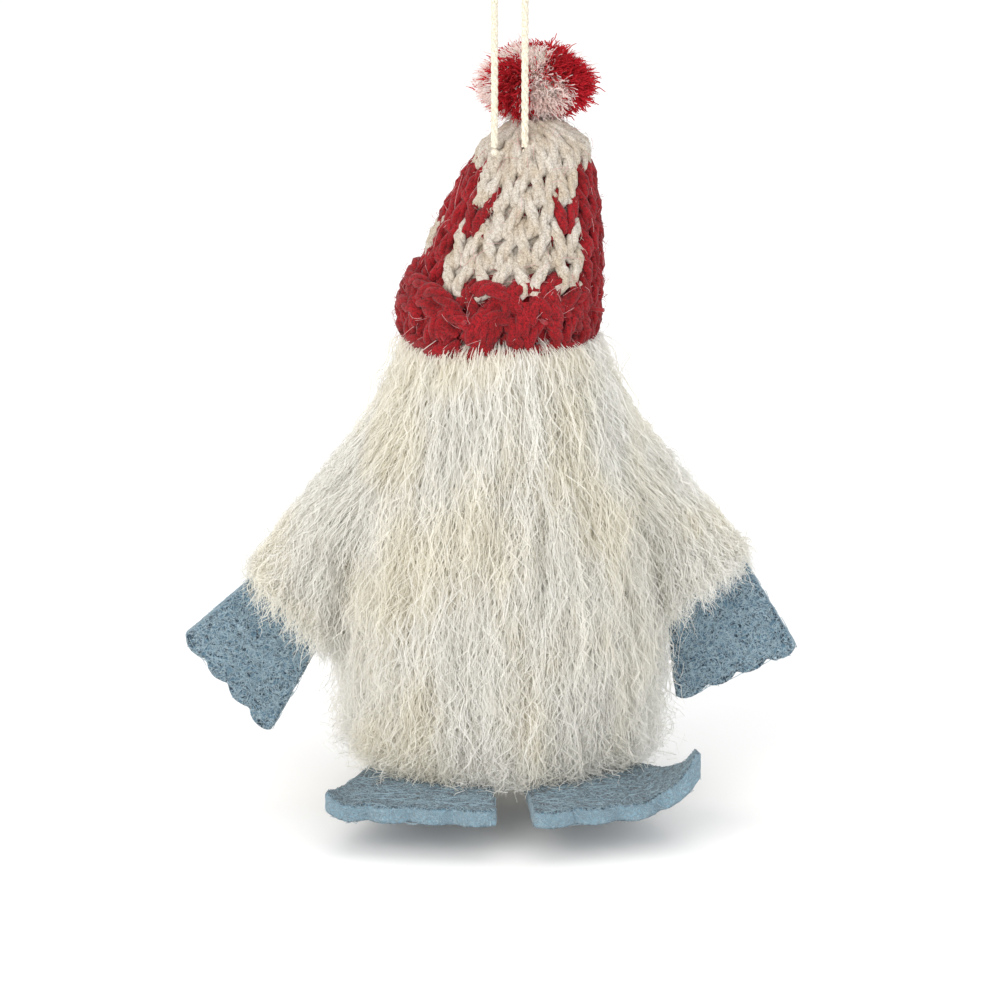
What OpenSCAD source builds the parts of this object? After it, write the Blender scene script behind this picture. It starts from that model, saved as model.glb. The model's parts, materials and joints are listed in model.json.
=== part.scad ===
// Hanging tomte gnome ornament: a stuffed body in a long-pile coat, fur sleeves, felt hands and
// feet, a knitted hat with a pom-pom, and a cotton cord loop that it hangs from.
// The origin is the inside of the cord loop's top bend. +Z is up and -Y is the gnome's front.

/* [Hanging] */
// Diameter of the cotton cord
cord_d = 1.2; // [1:0.1:2]
// Free space between the cord's end and the bend that goes into the hat
cord_gap = 0.25; // [0.05:0.05:0.3]
// Diameter of the knot inside the hat
knot_d = 5; // [4:0.5:6]

/* [Body] */
// Height from the soles to the hat's lower edge
rim_h = 75; // [66:1:90]
// Width of the coat at the belly, over the pressed pile
belly_w = 45; // [37:1:54]
// Width of the coat under the hat
neck_w = 31; // [26:1:34]
// Height at which the coat starts to narrow
belly_h = 18; // [14:1:24]
// Radius of the coat's lower edge
hem_round = 3; // [1:0.5:5]
// Thickness of the long-pile fabric
coat_t = 3; // [2:0.5:3.5]
// Thickness of the disc that closes the body below
base_t = 1.5; // [1:0.5:3]
// Sideways shift of the body from the cord loop
body_x = -1.3; // [-3:0.1:3]
// Shift of the body behind the cord loop
body_y = 0.4; // [0:0.1:3]

/* [Hat] */
// Height of the knitted part, from its lower edge to where its top rounds over
hat_h = 30; // [27:1:36]
// Width of the hat at its lower edge, without the rolled rim
hat_w = 29; // [26:1:30]
// Width of the hat where its top rounds over
tip_w = 14; // [12:1:16]
// Height of the rounded top
tip_dome = 2; // [1:0.5:4]
// Depth of the hat as a share of its width
hat_flat = 0.86; // [0.8:0.01:1]
// Thickness of the knitting
knit_t = 2; // [1.5:0.1:2.5]
// Sideways lean of the hat's top
lean_x = 5.5; // [0:0.5:7]
// Distance of the hat's top behind the middle of the cord
tip_behind = 0.6; // [0.5:0.1:1.5]
// Bend of the lean: 1 leans straight, more bends towards the top
lean_bend = 1.3; // [1:0.1:1.5]
// Height of the rolled rim
rim_roll_h = 9; // [6:1:11]
// Thickness of the rolled rim
rim_roll_t = 2.2; // [1.5:0.1:2.5]

/* [Pompom] */
// Width of the pom-pom
pom_w = 19; // [15:0.5:20]
// Depth of the pom-pom
pom_depth = 15; // [13:0.5:16]
// Height of the pom-pom
pom_h = 14; // [12:0.5:17]
// Free length of the yarn tie under the pom-pom
tie_free = 1.2; // [1:0.1:2]
// Diameter of the yarn tie
tie_d = 2.4; // [2:0.1:3]
// Diameter of the tie's knot in the pom-pom's core
tie_knot_d = 4; // [3:0.5:5]
// Free space between the pom-pom and the cord in front of it
pom_clear = 1.8; // [1.5:0.1:2.5]

/* [Arms] */
// Height of the shoulder seams above the soles
shoulder_h = 61.5; // [58:0.5:64]
// Smallest gap between a hanging sleeve and the coat
arm_gap = 0.6; // [0.5:0.1:2]
// Lean of a sleeve from the vertical
arm_lean = 24.5; // [22:0.5:34]
// Length of the left sleeve along its middle
left_arm_l = 37.5; // [30:0.5:45]
// Length of the right sleeve along its middle
right_arm_l = 32.5; // [28:0.5:40]
// Slope of the left sleeve's hem
left_hem_tilt = 45; // [30:1:50]
// Slope of the right sleeve's hem
right_hem_tilt = 37; // [30:1:50]
// Width of a sleeve at its hem
hem_w = 19; // [16:0.5:20]
// Width of a sleeve at the shoulder
shoulder_w = 4; // [3:0.5:4]
// Depth of a sleeve, from its front to its back
sleeve_depth = 14; // [12:0.5:16]

/* [Hands] */
// Thickness of the hands' felt
hand_t = 2.2; // [1.5:0.1:3]
// Width of a hand at the hem
wrist_w = 16; // [14:0.5:18]
// Width of a hand across the fingertips
palm_w = 22; // [18:0.5:24]
// Length of a hand without its fingertips
hand_l = 16; // [13:0.5:20]
// Turn of the left hand from its sleeve, in its own plane
left_hand_turn = 7; // [0:1:12]
// Turn of the right hand from its sleeve, in its own plane
right_hand_turn = 17; // [0:1:20]
// Slant of the left hand's fingertips from straight across the hand
left_tip_slant = -12; // [-14:1:4]
// Slant of the right hand's fingertips from straight across the hand
right_tip_slant = -4; // [-14:1:4]
// Depth of a finger lobe as a share of its width
finger_deep = 0.2; // [0.15:0.05:0.45]

/* [Feet] */
// Thickness of the feet's felt
foot_t = 3; // [2:0.1:4]
// Width of a foot at the heel
heel_w = 17; // [14:0.5:19]
// Width of a foot across the toes
toe_w = 28.5; // [24:0.5:30]
// Length of a foot without its toe tips
foot_l = 30; // [25:0.5:36]
// Reach of a foot under the coat, from the coat's front
foot_under = 18.5; // [16:0.5:20]
// Gap between the two feet at the heels
heel_gap = 5; // [4:0.5:8]
// Gap between the two feet at the toes, before the right foot turns out
toe_gap = 1.5; // [1:0.5:4]
// Further distance that the right foot's toes are turned out
right_toe_out = 4; // [0:0.5:5]
// Width of the left foot's outer part that curls up
left_curl_w = 5; // [4:0.5:8]
// Width of the right foot's outer part that curls up
right_curl_w = 12.5; // [8:0.5:13]
// Radius of the left foot's curl
left_curl_r = 9; // [8:0.5:14]
// Radius of the right foot's curl
right_curl_r = 14.5; // [14:0.5:18]
// Depth of a toe lobe as a share of its width
toe_deep = 0.2; // [0.15:0.05:0.4]

/* [Felt] */
// Number of finger or toe lobes
lobes = 4; // [3:1:5]

/* [Sewing] */
// Diameter of the sewing thread
thread_d = 0.7; // [0.4:0.1:1]
// Number of stitches that hold the hat
hat_stitch_count = 8; // [4:1:12]
// Number of stitches that hold the base disc
base_stitch_count = 12; // [6:1:18]
// Number of stitches that hold each hand or foot
felt_stitch_count = 3; // [2:1:5]

/* [Clearances] */
// Gap between pieces that lie against each other in one body
lay_gap = 0.1; // [0.05:0.05:0.2]
// Gap between pieces that move against each other
move_gap = 0.4; // [0.3:0.1:0.6]

/* [Hidden] */
$fn = 48;

// Colours of the real materials
wool_cream = [0.89, 0.87, 0.80];
felt_blue = [0.42, 0.54, 0.61];
yarn_red = [0.66, 0.11, 0.14];
yarn_cream = [0.90, 0.87, 0.81];
cotton_cream = [0.92, 0.90, 0.83];
fibre_white = [0.94, 0.94, 0.92];
thread_grey = [0.60, 0.62, 0.62];

// The cord's middle line, from the left strand's end over the top bend to the right strand's end
cord_points = [
    [-2.5, 0, -42.15], [-2.5, 0, -40], [-2.5, 0, -37], [-2.5, 0, -33], [-2.5, 0, -29],
    [-2.5, 0, -25], [-2.5, 0, -21], [-2.5, 0, -17], [-2.6, 0, -13], [-2.9, 0, -9], [-3.3, 0, -6],
    [-3.5, 0, -3], [-3.1, 0, -1], [-1.9, 0, 0.2], [0, 0, 0.6], [1.9, 0, 0.2], [3.1, 0, -1],
    [3.5, 0, -3], [3.3, 0, -6], [2.9, 0, -9], [2.6, 0, -13], [2.5, 0, -17], [2.5, 0, -21],
    [2.5, 0, -25], [2.5, 0, -29], [2.5, 0, -33], [2.5, 0, -37], [2.5, 0, -40], [2.5, 0, -42.15]
];
cord_sides = 8;

// Where the cord goes into the hat: its drop below the origin and its height above the soles
strand_x = cord_points[len(cord_points) - 1][0];
entry_drop = cord_d / 2 + cord_gap - cord_points[0][2];
entry_h = rim_h + hat_h;

// Body values worked out from the sizes above
hem_z = foot_t + move_gap;
belly_r = belly_w / 2;
neck_r = neck_w / 2;
taper_power = 1.6;
taper_steps = 12;
round_steps = 4;
thread_r = thread_d / 2;
stitch_out = 0.4;
base_reach = 3;

// Hat values
hat_r = hat_w / 2;
tip_r = tip_w / 2;
lean_y = tip_behind + hat_flat * tip_r - body_y;
knot_z = hat_h - knit_t - lay_gap - knot_d / 2;
tail_pitch = cord_d + 3 * lay_gap;
hat_steps = 8;
hat_sides = 36;
dome_steps = 4;
overlong = 2;

// Arm values: the sleeve is a flattened cone that is cut off along its hem
hem_r = hem_w / 2;
shoulder_r = shoulder_w / 2;
sleeve_spare = 9;
cut_size = 60;
lobe_steps = 8;

function ease(t) = pow(cos(90 * t), taper_power);
function coat_r(z, inset) =
    neck_r + (belly_r - neck_r) * ease(max(0, (z - belly_h) / (rim_h - belly_h))) - inset;
function hat_outer(t) = hat_r + (tip_r - hat_r) * t * t;
function lean_at(z) = pow(max(0, z / hat_h), lean_bend);
function edge_slope(length) = tan(arm_lean - atan((hem_r - shoulder_r) / length));

// A shoulder seam stands as far out as its sleeve's inner edge needs to clear the coat all the way
shoulder_x = arm_gap + shoulder_r + max([for (i = [0 : taper_steps])
    let (drop = i / taper_steps * (shoulder_h - belly_h))
    coat_r(shoulder_h - drop, 0) - drop * min(edge_slope(left_arm_l), edge_slope(right_arm_l))]);

// ---- Placing ----

module hung() {
    translate([0, 0, -entry_drop - entry_h]) children();
}

module on_body() {
    hung() translate([body_x, body_y, 0]) children();
}

module on_hat() {
    on_body() translate([0, 0, rim_h]) children();
}

module at_side(side) {
    on_body() mirror([side < 0 ? 1 : 0, 0, 0]) translate([shoulder_x, 0, shoulder_h]) children();
}

// ---- Cord loop ----

function unit(v) = v / norm(v);
function cord_way(i) =
    unit(cord_points[min(i + 1, len(cord_points) - 1)] - cord_points[max(i - 1, 0)]);
function cord_ring(i) =
    let (way = cord_way(i), out = cross(way, [0, 1, 0]))
    [for (k = [0 : cord_sides - 1])
        cord_points[i]
            + cord_d / 2 * (cos(360 * k / cord_sides) * out + sin(360 * k / cord_sides) * [0, 1, 0])];

module hanging_loop() {
    rings = len(cord_points);
    skin = [for (i = [0 : rings - 1]) each cord_ring(i)];
    sides = [for (i = [0 : rings - 2], k = [0 : cord_sides - 1])
        let (a = i * cord_sides + k, b = i * cord_sides + (k + 1) % cord_sides)
        [a, b, b + cord_sides, a + cord_sides]];
    first_cap = [for (k = [cord_sides - 1 : -1 : 0]) k];
    last_cap = [for (k = [0 : cord_sides - 1]) (rings - 1) * cord_sides + k];
    color(cotton_cream) polyhedron(points = skin, faces = concat(sides, [first_cap, last_cap]));
}

module rod(from, to, d) {
    way = to - from;
    translate(from) rotate([0, acos(way[2] / norm(way)), atan2(way[1], way[0])])
        cylinder(d = d, h = norm(way));
}

// The two tails go from the strands' ends through the knitting and meet in the knot
knot_at = hat_pole(knot_z) + [body_x, body_y, rim_h];

module tail_rods(d) {
    for (side = [-1, 1])
        rod([side * strand_x, 0, entry_h], knot_at + [side * tail_pitch / 2, 0, 0], d);
}

module cord_tails() {
    color(cotton_cream) hung() {
        for (side = [-1, 1]) translate([side * strand_x, 0, entry_h]) sphere(d = cord_d);
        tail_rods(cord_d);
    }
}

module loop_knot() {
    color(cotton_cream) hung()
        difference() {
            translate(knot_at) sphere(d = knot_d);
            tail_rods(cord_d + 2 * lay_gap);
        }
}

// ---- Hat: rings of points on a leaning axis, joined into one skin ----

function hat_ring(p) =
    [for (k = [0 : hat_sides - 1])
        [p[0] * cos(360 * k / hat_sides) + lean_x * lean_at(p[1]),
         hat_flat * p[0] * sin(360 * k / hat_sides) + lean_y * lean_at(p[1]),
         p[1]]];
function hat_pole(z) = [lean_x * lean_at(z), lean_y * lean_at(z), z];
function ring_quads(low, high) =
    [for (k = [0 : hat_sides - 1])
        let (next = (k + 1) % hat_sides)
        [low * hat_sides + k, high * hat_sides + k, high * hat_sides + next, low * hat_sides + next]];

// A solid whose profile of [radius, height] points starts and ends on the leaning axis
module leaning_turn(profile, first_z, last_z) {
    rings = len(profile);
    skin = [for (p = profile) each hat_ring(p)];
    first = rings * hat_sides;
    sides = [for (i = [0 : rings - 2]) each ring_quads(i, i + 1)];
    caps = [for (k = [0 : hat_sides - 1])
        let (next = (k + 1) % hat_sides, top = (rings - 1) * hat_sides)
        each [[first, k, next], [first + 1, top + next, top + k]]];
    polyhedron(points = concat(skin, [hat_pole(first_z), hat_pole(last_z)]), faces = concat(sides, caps));
}

// A ring whose profile closes on itself
module leaning_ring(profile) {
    rings = len(profile);
    polyhedron(
        points = [for (p = profile) each hat_ring(p)],
        faces = [for (i = [0 : rings - 1]) each ring_quads(i, (i + 1) % rings)]
    );
}

function hat_side(inset, low, high) =
    [for (i = [0 : hat_steps])
        let (z = low + (high - low) * i / hat_steps) [hat_outer(z / hat_h) - inset, z]];
function reversed(list) = [for (i = [len(list) - 1 : -1 : 0]) list[i]];

module hat_knit() {
    dome = [for (i = [1 : dome_steps - 1])
        [tip_r * cos(90 * i / dome_steps), hat_h + tip_dome * sin(90 * i / dome_steps)]];
    inside = reversed(hat_side(knit_t, 0, hat_h - knit_t));
    color(yarn_cream) on_hat()
        leaning_turn(concat(inside, hat_side(0, 0, hat_h), dome), hat_h - knit_t, hat_h + tip_dome);
}

module hat_rim() {
    soft = rim_roll_t / 2;
    top_r = hat_outer(rim_roll_h / hat_h) + lay_gap + soft;
    low_r = hat_outer(0) + lay_gap + soft;
    inside = reversed(hat_side(-lay_gap, 0, rim_roll_h));
    low_edge = [for (i = [0 : round_steps])
        [low_r + soft * sin(90 * i / round_steps), soft - soft * cos(90 * i / round_steps)]];
    high_edge = [for (i = [0 : round_steps])
        [top_r + soft * cos(90 * i / round_steps), rim_roll_h - soft + soft * sin(90 * i / round_steps)]];
    color(yarn_red) on_hat() leaning_ring(concat(inside, low_edge, high_edge));
}

module hat_stuffing() {
    fill_top = knot_z - knot_d / 2 - lay_gap;
    color(fibre_white) on_hat()
        leaning_turn(hat_side(knit_t + lay_gap, lay_gap, fill_top), lay_gap, fill_top);
}

module hat_stitches() {
    depth = knit_t + rim_roll_t;
    stitch_z = rim_roll_h / 2;
    color(thread_grey) on_hat() translate(hat_pole(stitch_z))
        for (i = [0 : hat_stitch_count - 1])
            let (turn = 360 * (i + 0.5) / hat_stitch_count)
            translate([(hat_r - knit_t / 2) * cos(turn), hat_flat * (hat_r - knit_t / 2) * sin(turn), 0])
                rotate([0, 90, turn]) cylinder(r = thread_r, h = depth);
}

// ---- Pom-pom ----

module at_pompom() {
    pom_y = cord_d / 2 + pom_clear + pom_depth / 2;
    hung() translate([body_x + lean_x, pom_y, entry_h + tip_dome + tie_free]) children();
}

module pompom_yarn() {
    color(yarn_red) at_pompom()
        difference() {
            translate([0, 0, pom_h / 2])
                scale([pom_w / pom_h, pom_depth / pom_h, 1]) sphere(d = pom_h);
            translate([0, 0, -overlong]) cylinder(d = tie_d + 2 * lay_gap, h = pom_h / 2 + overlong);
            translate([0, 0, pom_h / 2]) sphere(d = tie_knot_d + 2 * lay_gap);
        }
}

module pompom_tie() {
    color(yarn_cream) at_pompom() {
        translate([0, 0, -tie_free + move_gap]) cylinder(d = tie_d, h = pom_h / 2 + tie_free - move_gap);
        translate([0, 0, pom_h / 2]) sphere(d = tie_knot_d);
    }
}

// ---- Body ----

function coat_profile(inset, low, high) = [
    [0, low],
    each [for (i = [0 : round_steps])
        [belly_r - inset - hem_round + hem_round * sin(90 * i / round_steps),
         low + hem_round - hem_round * cos(90 * i / round_steps)]],
    each [for (i = [0 : taper_steps])
        let (z = belly_h + (high - belly_h) * i / taper_steps) [coat_r(z, inset), z]],
    [0, high]
];

module body_form(inset, low, high) {
    on_body() rotate_extrude() polygon(coat_profile(inset, low, high));
}

module fur_coat() {
    color(wool_cream)
        difference() {
            body_form(0, hem_z, rim_h - lay_gap);
            body_form(coat_t, hem_z - hem_round - overlong, rim_h - lay_gap - coat_t);
        }
}

module body_stuffing() {
    fill_low = hem_z + base_t + lay_gap;
    color(fibre_white) body_form(coat_t + lay_gap, fill_low, rim_h - 2 * lay_gap - coat_t);
}

module base_disc() {
    disc_r = belly_r - coat_t - lay_gap;
    color(wool_cream) on_body() translate([0, 0, hem_z]) cylinder(r = disc_r, h = base_t);
}

module base_stitches() {
    color(thread_grey) on_body()
        for (i = [0 : base_stitch_count - 1]) rotate([0, 0, 360 * (i + 0.5) / base_stitch_count])
            translate([belly_r - coat_t - base_reach / 2, 0, hem_z + thread_r])
                rotate([0, 90, 0]) cylinder(r = thread_r, h = base_reach);
}

// ---- Arms: each is drawn for the right side and mirrored for the left ----

module sleeve_cone(length, inset) {
    full = length + sleeve_spare;
    end_r = shoulder_r + (hem_r - shoulder_r) * full / length;
    rotate([0, -arm_lean, 0])
        intersection() {
            mirror([0, 0, 1]) rotate_extrude() polygon([
                [0, inset], [inset > 0 ? shoulder_r / 2 + coat_t - inset : shoulder_r, inset],
                [end_r - inset, full], [0, full]
            ]);
            cube([cut_size, sleeve_depth - 2 * inset, 2 * cut_size], center = true);
        }
}

// The place of a sleeve's hem: local X runs up along the hem, local -Z points out of the sleeve
module at_hem(length, tilt) {
    rotate([0, -arm_lean, 0]) translate([0, 0, -length]) rotate([0, arm_lean - tilt, 0]) children();
}

module hem_cut(length, tilt, back) {
    at_hem(length, tilt) translate([0, 0, back - cut_size / 2]) cube(cut_size, center = true);
}

module sleeve(side, length, tilt) {
    color(wool_cream) at_side(side)
        difference() {
            sleeve_cone(length, 0);
            sleeve_cone(length, coat_t);
            hem_cut(length, tilt, 0);
        }
}

module arm_stuffing(side, length, tilt) {
    color(fibre_white) at_side(side)
        difference() {
            sleeve_cone(length, coat_t + lay_gap);
            hem_cut(length, tilt, hand_t / 2);
        }
}

module left_sleeve() {
    sleeve(-1, left_arm_l, left_hem_tilt);
}

module right_sleeve() {
    sleeve(1, right_arm_l, right_hem_tilt);
}

module left_arm_stuffing() {
    arm_stuffing(-1, left_arm_l, left_hem_tilt);
}

module right_arm_stuffing() {
    arm_stuffing(1, right_arm_l, right_hem_tilt);
}

// ---- Felt hands and feet ----

// A flat felt shape with scalloped lobes: its straight edge lies on X, and the lobes point to -Y
function lobe_arc(middle, r, half_sweep, centre_y) =
    [for (k = [1 : lobe_steps])
        let (a = half_sweep * (2 * k / lobe_steps - 1)) [middle + r * sin(a), centre_y - r * cos(a)]];
function turned(points, turn, centre) =
    [for (p = points)
        let (d = p - centre)
        centre + [d[0] * cos(turn) + d[1] * sin(turn), d[1] * cos(turn) - d[0] * sin(turn)]];

module felt_outline(near_w, far_w, length, turn, slant, deep_share) {
    pitch = far_w / lobes;
    deep = pitch * deep_share;
    lobe_r = (pitch * pitch / 4 + deep * deep) / (2 * deep);
    edge = [for (i = [0 : lobes - 1])
        each lobe_arc((i + 0.5) * pitch - far_w / 2, lobe_r, asin(pitch / 2 / lobe_r),
                      lobe_r - deep - length)];
    tips = turned(concat([[-far_w / 2, -length]], edge), slant, [0, -length]);
    polygon(concat([[-near_w / 2, 0]], turned(tips, turn, [0, 0]), [[near_w / 2, 0]]));
}

// The rounded edge that a hand or foot bends on
module knuckle(thick, width) {
    rotate([0, 90, 0]) cylinder(d = thick - 2 * lay_gap, h = width - 2 * lay_gap, center = true);
}

module at_knuckle(length, tilt) {
    at_hem(length, tilt) translate([0, 0, -hand_t / 2 - move_gap]) children();
}

module hand(side, length, tilt, turn, slant) {
    color(felt_blue) at_side(side) at_knuckle(length, tilt) {
        knuckle(hand_t, wrist_w);
        rotate([90, 0, 0]) linear_extrude(hand_t, center = true)
            felt_outline(wrist_w, palm_w, hand_l, turn, slant, finger_deep);
    }
}

module hand_stitches(side, length, tilt) {
    color(thread_grey) at_side(side) at_knuckle(length, tilt)
        for (i = [0 : felt_stitch_count - 1])
            translate([wrist_w * ((i + 0.5) / felt_stitch_count - 0.5), 0, -hand_t])
                rotate([90, 0, 0]) cylinder(r = thread_r, h = hand_t + 2 * stitch_out, center = true);
}

module left_hand() {
    hand(-1, left_arm_l, left_hem_tilt, left_hand_turn, left_tip_slant);
}

module right_hand() {
    hand(1, right_arm_l, right_hem_tilt, right_hand_turn, right_tip_slant);
}

module left_hand_stitches() {
    hand_stitches(-1, left_arm_l, left_hem_tilt);
}

module right_hand_stitches() {
    hand_stitches(1, right_arm_l, right_hem_tilt);
}

// Places of the feet: the toes' middle stands further out than the heel's
heel_x = (heel_w + heel_gap) / 2;
toe_x = (toe_w + toe_gap) / 2;
function toes_out(side) = toe_x - heel_x + (side > 0 ? right_toe_out : 0);
curl_steps = 8;
curl_spare = 12;

module at_foot(side) {
    on_body() mirror([side < 0 ? 1 : 0, 0, 0])
        translate([heel_x, foot_under - belly_r, foot_t / 2]) children();
}

// A band of felt, seen from the front, that is flat and then curls up at its outer end
function curl_arc(flat_to, curl_r, sweep, depth) =
    [for (i = [0 : curl_steps])
        [flat_to + (curl_r - depth) * sin(sweep * i / curl_steps),
         curl_r - foot_t / 2 - (curl_r - depth) * cos(sweep * i / curl_steps)]];

module curl_band(flat_to, curl_w, curl_r) {
    sweep = min(90, asin(min(1, curl_w / curl_r)) + curl_spare);
    polygon(concat(
        [[-cut_size, foot_t / 2], [-cut_size, -foot_t / 2]],
        curl_arc(flat_to, curl_r, sweep, 0),
        reversed(curl_arc(flat_to, curl_r, sweep, foot_t))
    ));
}

module foot(side, curl_w, curl_r) {
    flat_to = toe_w / 2 + toes_out(side) - curl_w;
    color(felt_blue) at_foot(side) {
        knuckle(foot_t, heel_w);
        intersection() {
            linear_extrude(cut_size, center = true)
                felt_outline(heel_w, toe_w, foot_l, -asin(toes_out(side) / foot_l), 0, toe_deep);
            rotate([90, 0, 0]) linear_extrude(cut_size) curl_band(flat_to, curl_w, curl_r);
        }
    }
}

module foot_stitches(side) {
    color(thread_grey) at_foot(side)
        for (i = [0 : felt_stitch_count - 1])
            translate([heel_w * ((i + 0.5) / felt_stitch_count - 0.5), -foot_t / 2, -foot_t / 2])
                rotate([90, 0, 0]) cylinder(r = thread_r, h = foot_t, center = true);
}

module left_foot() {
    foot(-1, left_curl_w, left_curl_r);
}

module right_foot() {
    foot(1, right_curl_w, right_curl_r);
}

module left_foot_stitches() {
    foot_stitches(-1);
}

module right_foot_stitches() {
    foot_stitches(1);
}

hanging_loop();
cord_tails();
loop_knot();
pompom_yarn();
pompom_tie();
hat_knit();
hat_rim();
hat_stuffing();
hat_stitches();
fur_coat();
body_stuffing();
base_disc();
base_stitches();
left_sleeve();
left_arm_stuffing();
left_hand();
left_hand_stitches();
right_sleeve();
right_arm_stuffing();
right_hand();
right_hand_stitches();
left_foot();
left_foot_stitches();
right_foot();
right_foot_stitches();
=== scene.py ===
import json
import math
import bmesh
import bpy
import numpy as np
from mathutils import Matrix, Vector, kdtree, noise


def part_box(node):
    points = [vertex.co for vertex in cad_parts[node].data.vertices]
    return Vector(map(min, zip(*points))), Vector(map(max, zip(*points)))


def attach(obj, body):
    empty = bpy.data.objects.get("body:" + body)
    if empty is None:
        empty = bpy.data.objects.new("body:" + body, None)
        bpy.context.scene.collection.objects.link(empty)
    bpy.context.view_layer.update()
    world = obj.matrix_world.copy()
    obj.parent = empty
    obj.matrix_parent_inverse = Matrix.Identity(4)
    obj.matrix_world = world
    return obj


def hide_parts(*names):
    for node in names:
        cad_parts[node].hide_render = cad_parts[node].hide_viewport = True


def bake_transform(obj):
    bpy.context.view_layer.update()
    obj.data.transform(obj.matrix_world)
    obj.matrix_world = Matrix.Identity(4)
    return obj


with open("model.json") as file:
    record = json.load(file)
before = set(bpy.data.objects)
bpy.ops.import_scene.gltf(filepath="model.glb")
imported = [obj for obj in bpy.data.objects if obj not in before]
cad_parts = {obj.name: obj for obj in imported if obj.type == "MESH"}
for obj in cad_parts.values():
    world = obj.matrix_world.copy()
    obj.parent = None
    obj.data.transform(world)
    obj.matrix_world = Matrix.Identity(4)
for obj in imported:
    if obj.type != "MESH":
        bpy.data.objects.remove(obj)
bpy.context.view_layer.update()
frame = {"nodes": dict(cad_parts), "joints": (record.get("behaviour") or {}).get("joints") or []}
MM = 0.001
scene = bpy.context.scene


# ---- Camera ----
# A long lens, a little above the gnome's middle, so that its height is seen almost without perspective.
view_width = 166.7 * MM
camera_distance = 1.2
camera_tilt = math.radians(16)
camera_aim = Vector((-1.6 * MM, 0, -102.5 * MM))
camera_data = bpy.data.cameras.new("camera")
camera_data.sensor_width = 36
camera_data.lens = camera_data.sensor_width * camera_distance / view_width
camera_data.clip_start = 0.05
camera = bpy.data.objects.new("camera", camera_data)
camera.location = camera_aim + camera_distance * Vector((0, -math.cos(camera_tilt), math.sin(camera_tilt)))
camera.rotation_euler = (math.pi / 2 - camera_tilt, 0, 0)
scene.collection.objects.link(camera)
scene.camera = camera


# ---- Hanging cord ----
# A loop of cream cotton cord, three plies laid together. Both strands go down into the hat, where they
# are knotted, and the loop's top bend hangs on the hook.
cord_route = np.array([
    (-2.5, 0, -42.15), (-2.5, 0, -40), (-2.5, 0, -37), (-2.5, 0, -33), (-2.5, 0, -29),
    (-2.5, 0, -25), (-2.5, 0, -21), (-2.5, 0, -17), (-2.6, 0, -13), (-2.9, 0, -9), (-3.3, 0, -6),
    (-3.5, 0, -3), (-3.1, 0, -1), (-1.9, 0, 0.2), (0, 0, 0.6), (1.9, 0, 0.2), (3.1, 0, -1),
    (3.5, 0, -3), (3.3, 0, -6), (2.9, 0, -9), (2.6, 0, -13), (2.5, 0, -17), (2.5, 0, -21),
    (2.5, 0, -25), (2.5, 0, -29), (2.5, 0, -33), (2.5, 0, -37), (2.5, 0, -40), (2.5, 0, -42.15),
]) * MM
cord_width = 1.2 * MM
cord_ply_width = 0.58 * cord_width
cord_ply_offset = 0.24 * cord_width
cord_ply_pitch = 5 * MM
plies = 3


def linear(hex_colour):
    """An sRGB hex colour as the linear values that a shader takes."""
    parts = [int(hex_colour[i:i + 2], 16) / 255 for i in (1, 3, 5)]
    return (*[p / 12.92 if p <= 0.04045 else ((p + 0.055) / 1.055) ** 2.4 for p in parts], 1)


def add(material, kind, settings=None, **inputs):
    """Adds a shader node to a material: its settings, a colour ramp's stops, and its inputs or links."""
    node = material.node_tree.nodes.new("ShaderNode" + kind)
    for key, value in (settings or {}).items():
        if key == "stops":
            while len(node.color_ramp.elements) < len(value):
                node.color_ramp.elements.new(0.5)
            for element, (place, colour) in zip(node.color_ramp.elements, value):
                element.position = place
                element.color = linear(colour)
        else:
            setattr(node, key, value)
    for key, value in inputs.items():
        name = int(key[1:]) if key[0] == "_" else key.replace("_", " ")
        if isinstance(value, bpy.types.NodeSocket):
            material.node_tree.links.new(value, node.inputs[name])
        else:
            node.inputs[name].default_value = value
    return node


def new_material(name):
    material = bpy.data.materials.new(name)
    material.use_nodes = True
    material.node_tree.nodes.clear()
    return material


def finish_surface(material, colour, height, bump_depth, roughness, sheen=0.0, through=0.0):
    """The cloth shader that ends every material: fibres scatter light, and thin ones let some through."""
    bump = add(material, "Bump", Height=height, Strength=1.0, Distance=bump_depth)
    shader = add(material, "BsdfPrincipled", Base_Color=colour, Roughness=roughness, Normal=bump.outputs[0],
                 Sheen_Weight=sheen, Sheen_Roughness=0.6)
    shader.inputs["Specular IOR Level"].default_value = 0.2
    if through:
        glow = add(material, "BsdfTranslucent", Color=colour)
        shader = add(material, "MixShader", Fac=through, _1=shader.outputs[0], _2=glow.outputs[0])
    add(material, "OutputMaterial", Surface=shader.outputs[0])
    return material


def mapped(material, across, along):
    """Object coordinates in pattern units: `across` metres sideways and `along` metres in height."""
    where = add(material, "TexCoord").outputs["Object"]
    return add(material, "Mapping", Vector=where, Scale=(1 / across, 1 / across, 1 / along)).outputs[0]


def smoothed(points, rounds):
    """Cuts a line's corners, with its two ends kept."""
    for _ in range(rounds):
        low = 0.75 * points[:-1] + 0.25 * points[1:]
        high = 0.25 * points[:-1] + 0.75 * points[1:]
        points = np.vstack([points[:1], np.stack([low, high], 1).reshape(-1, 3)[1:-1], points[-1:]])
    return points


def run_length(path):
    return np.concatenate([[0], np.cumsum(np.linalg.norm(np.diff(path, axis=0), axis=1))])


def ply_paths(path, outward, offset, pitch, start=0.0):
    """The middle lines of the plies that twist round a path."""
    way = np.gradient(path, axis=0)
    way /= np.linalg.norm(way, axis=1)[:, None]
    side = np.cross(way, outward)
    side /= np.linalg.norm(side, axis=1)[:, None]
    up = np.cross(side, way)
    turns = run_length(path) / pitch
    result = []
    for ply in range(plies):
        angle = (2 * math.pi * (turns + start + ply / plies))[:, None]
        result.append(path + offset * (np.cos(angle) * side + np.sin(angle) * up))
    return result


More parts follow.
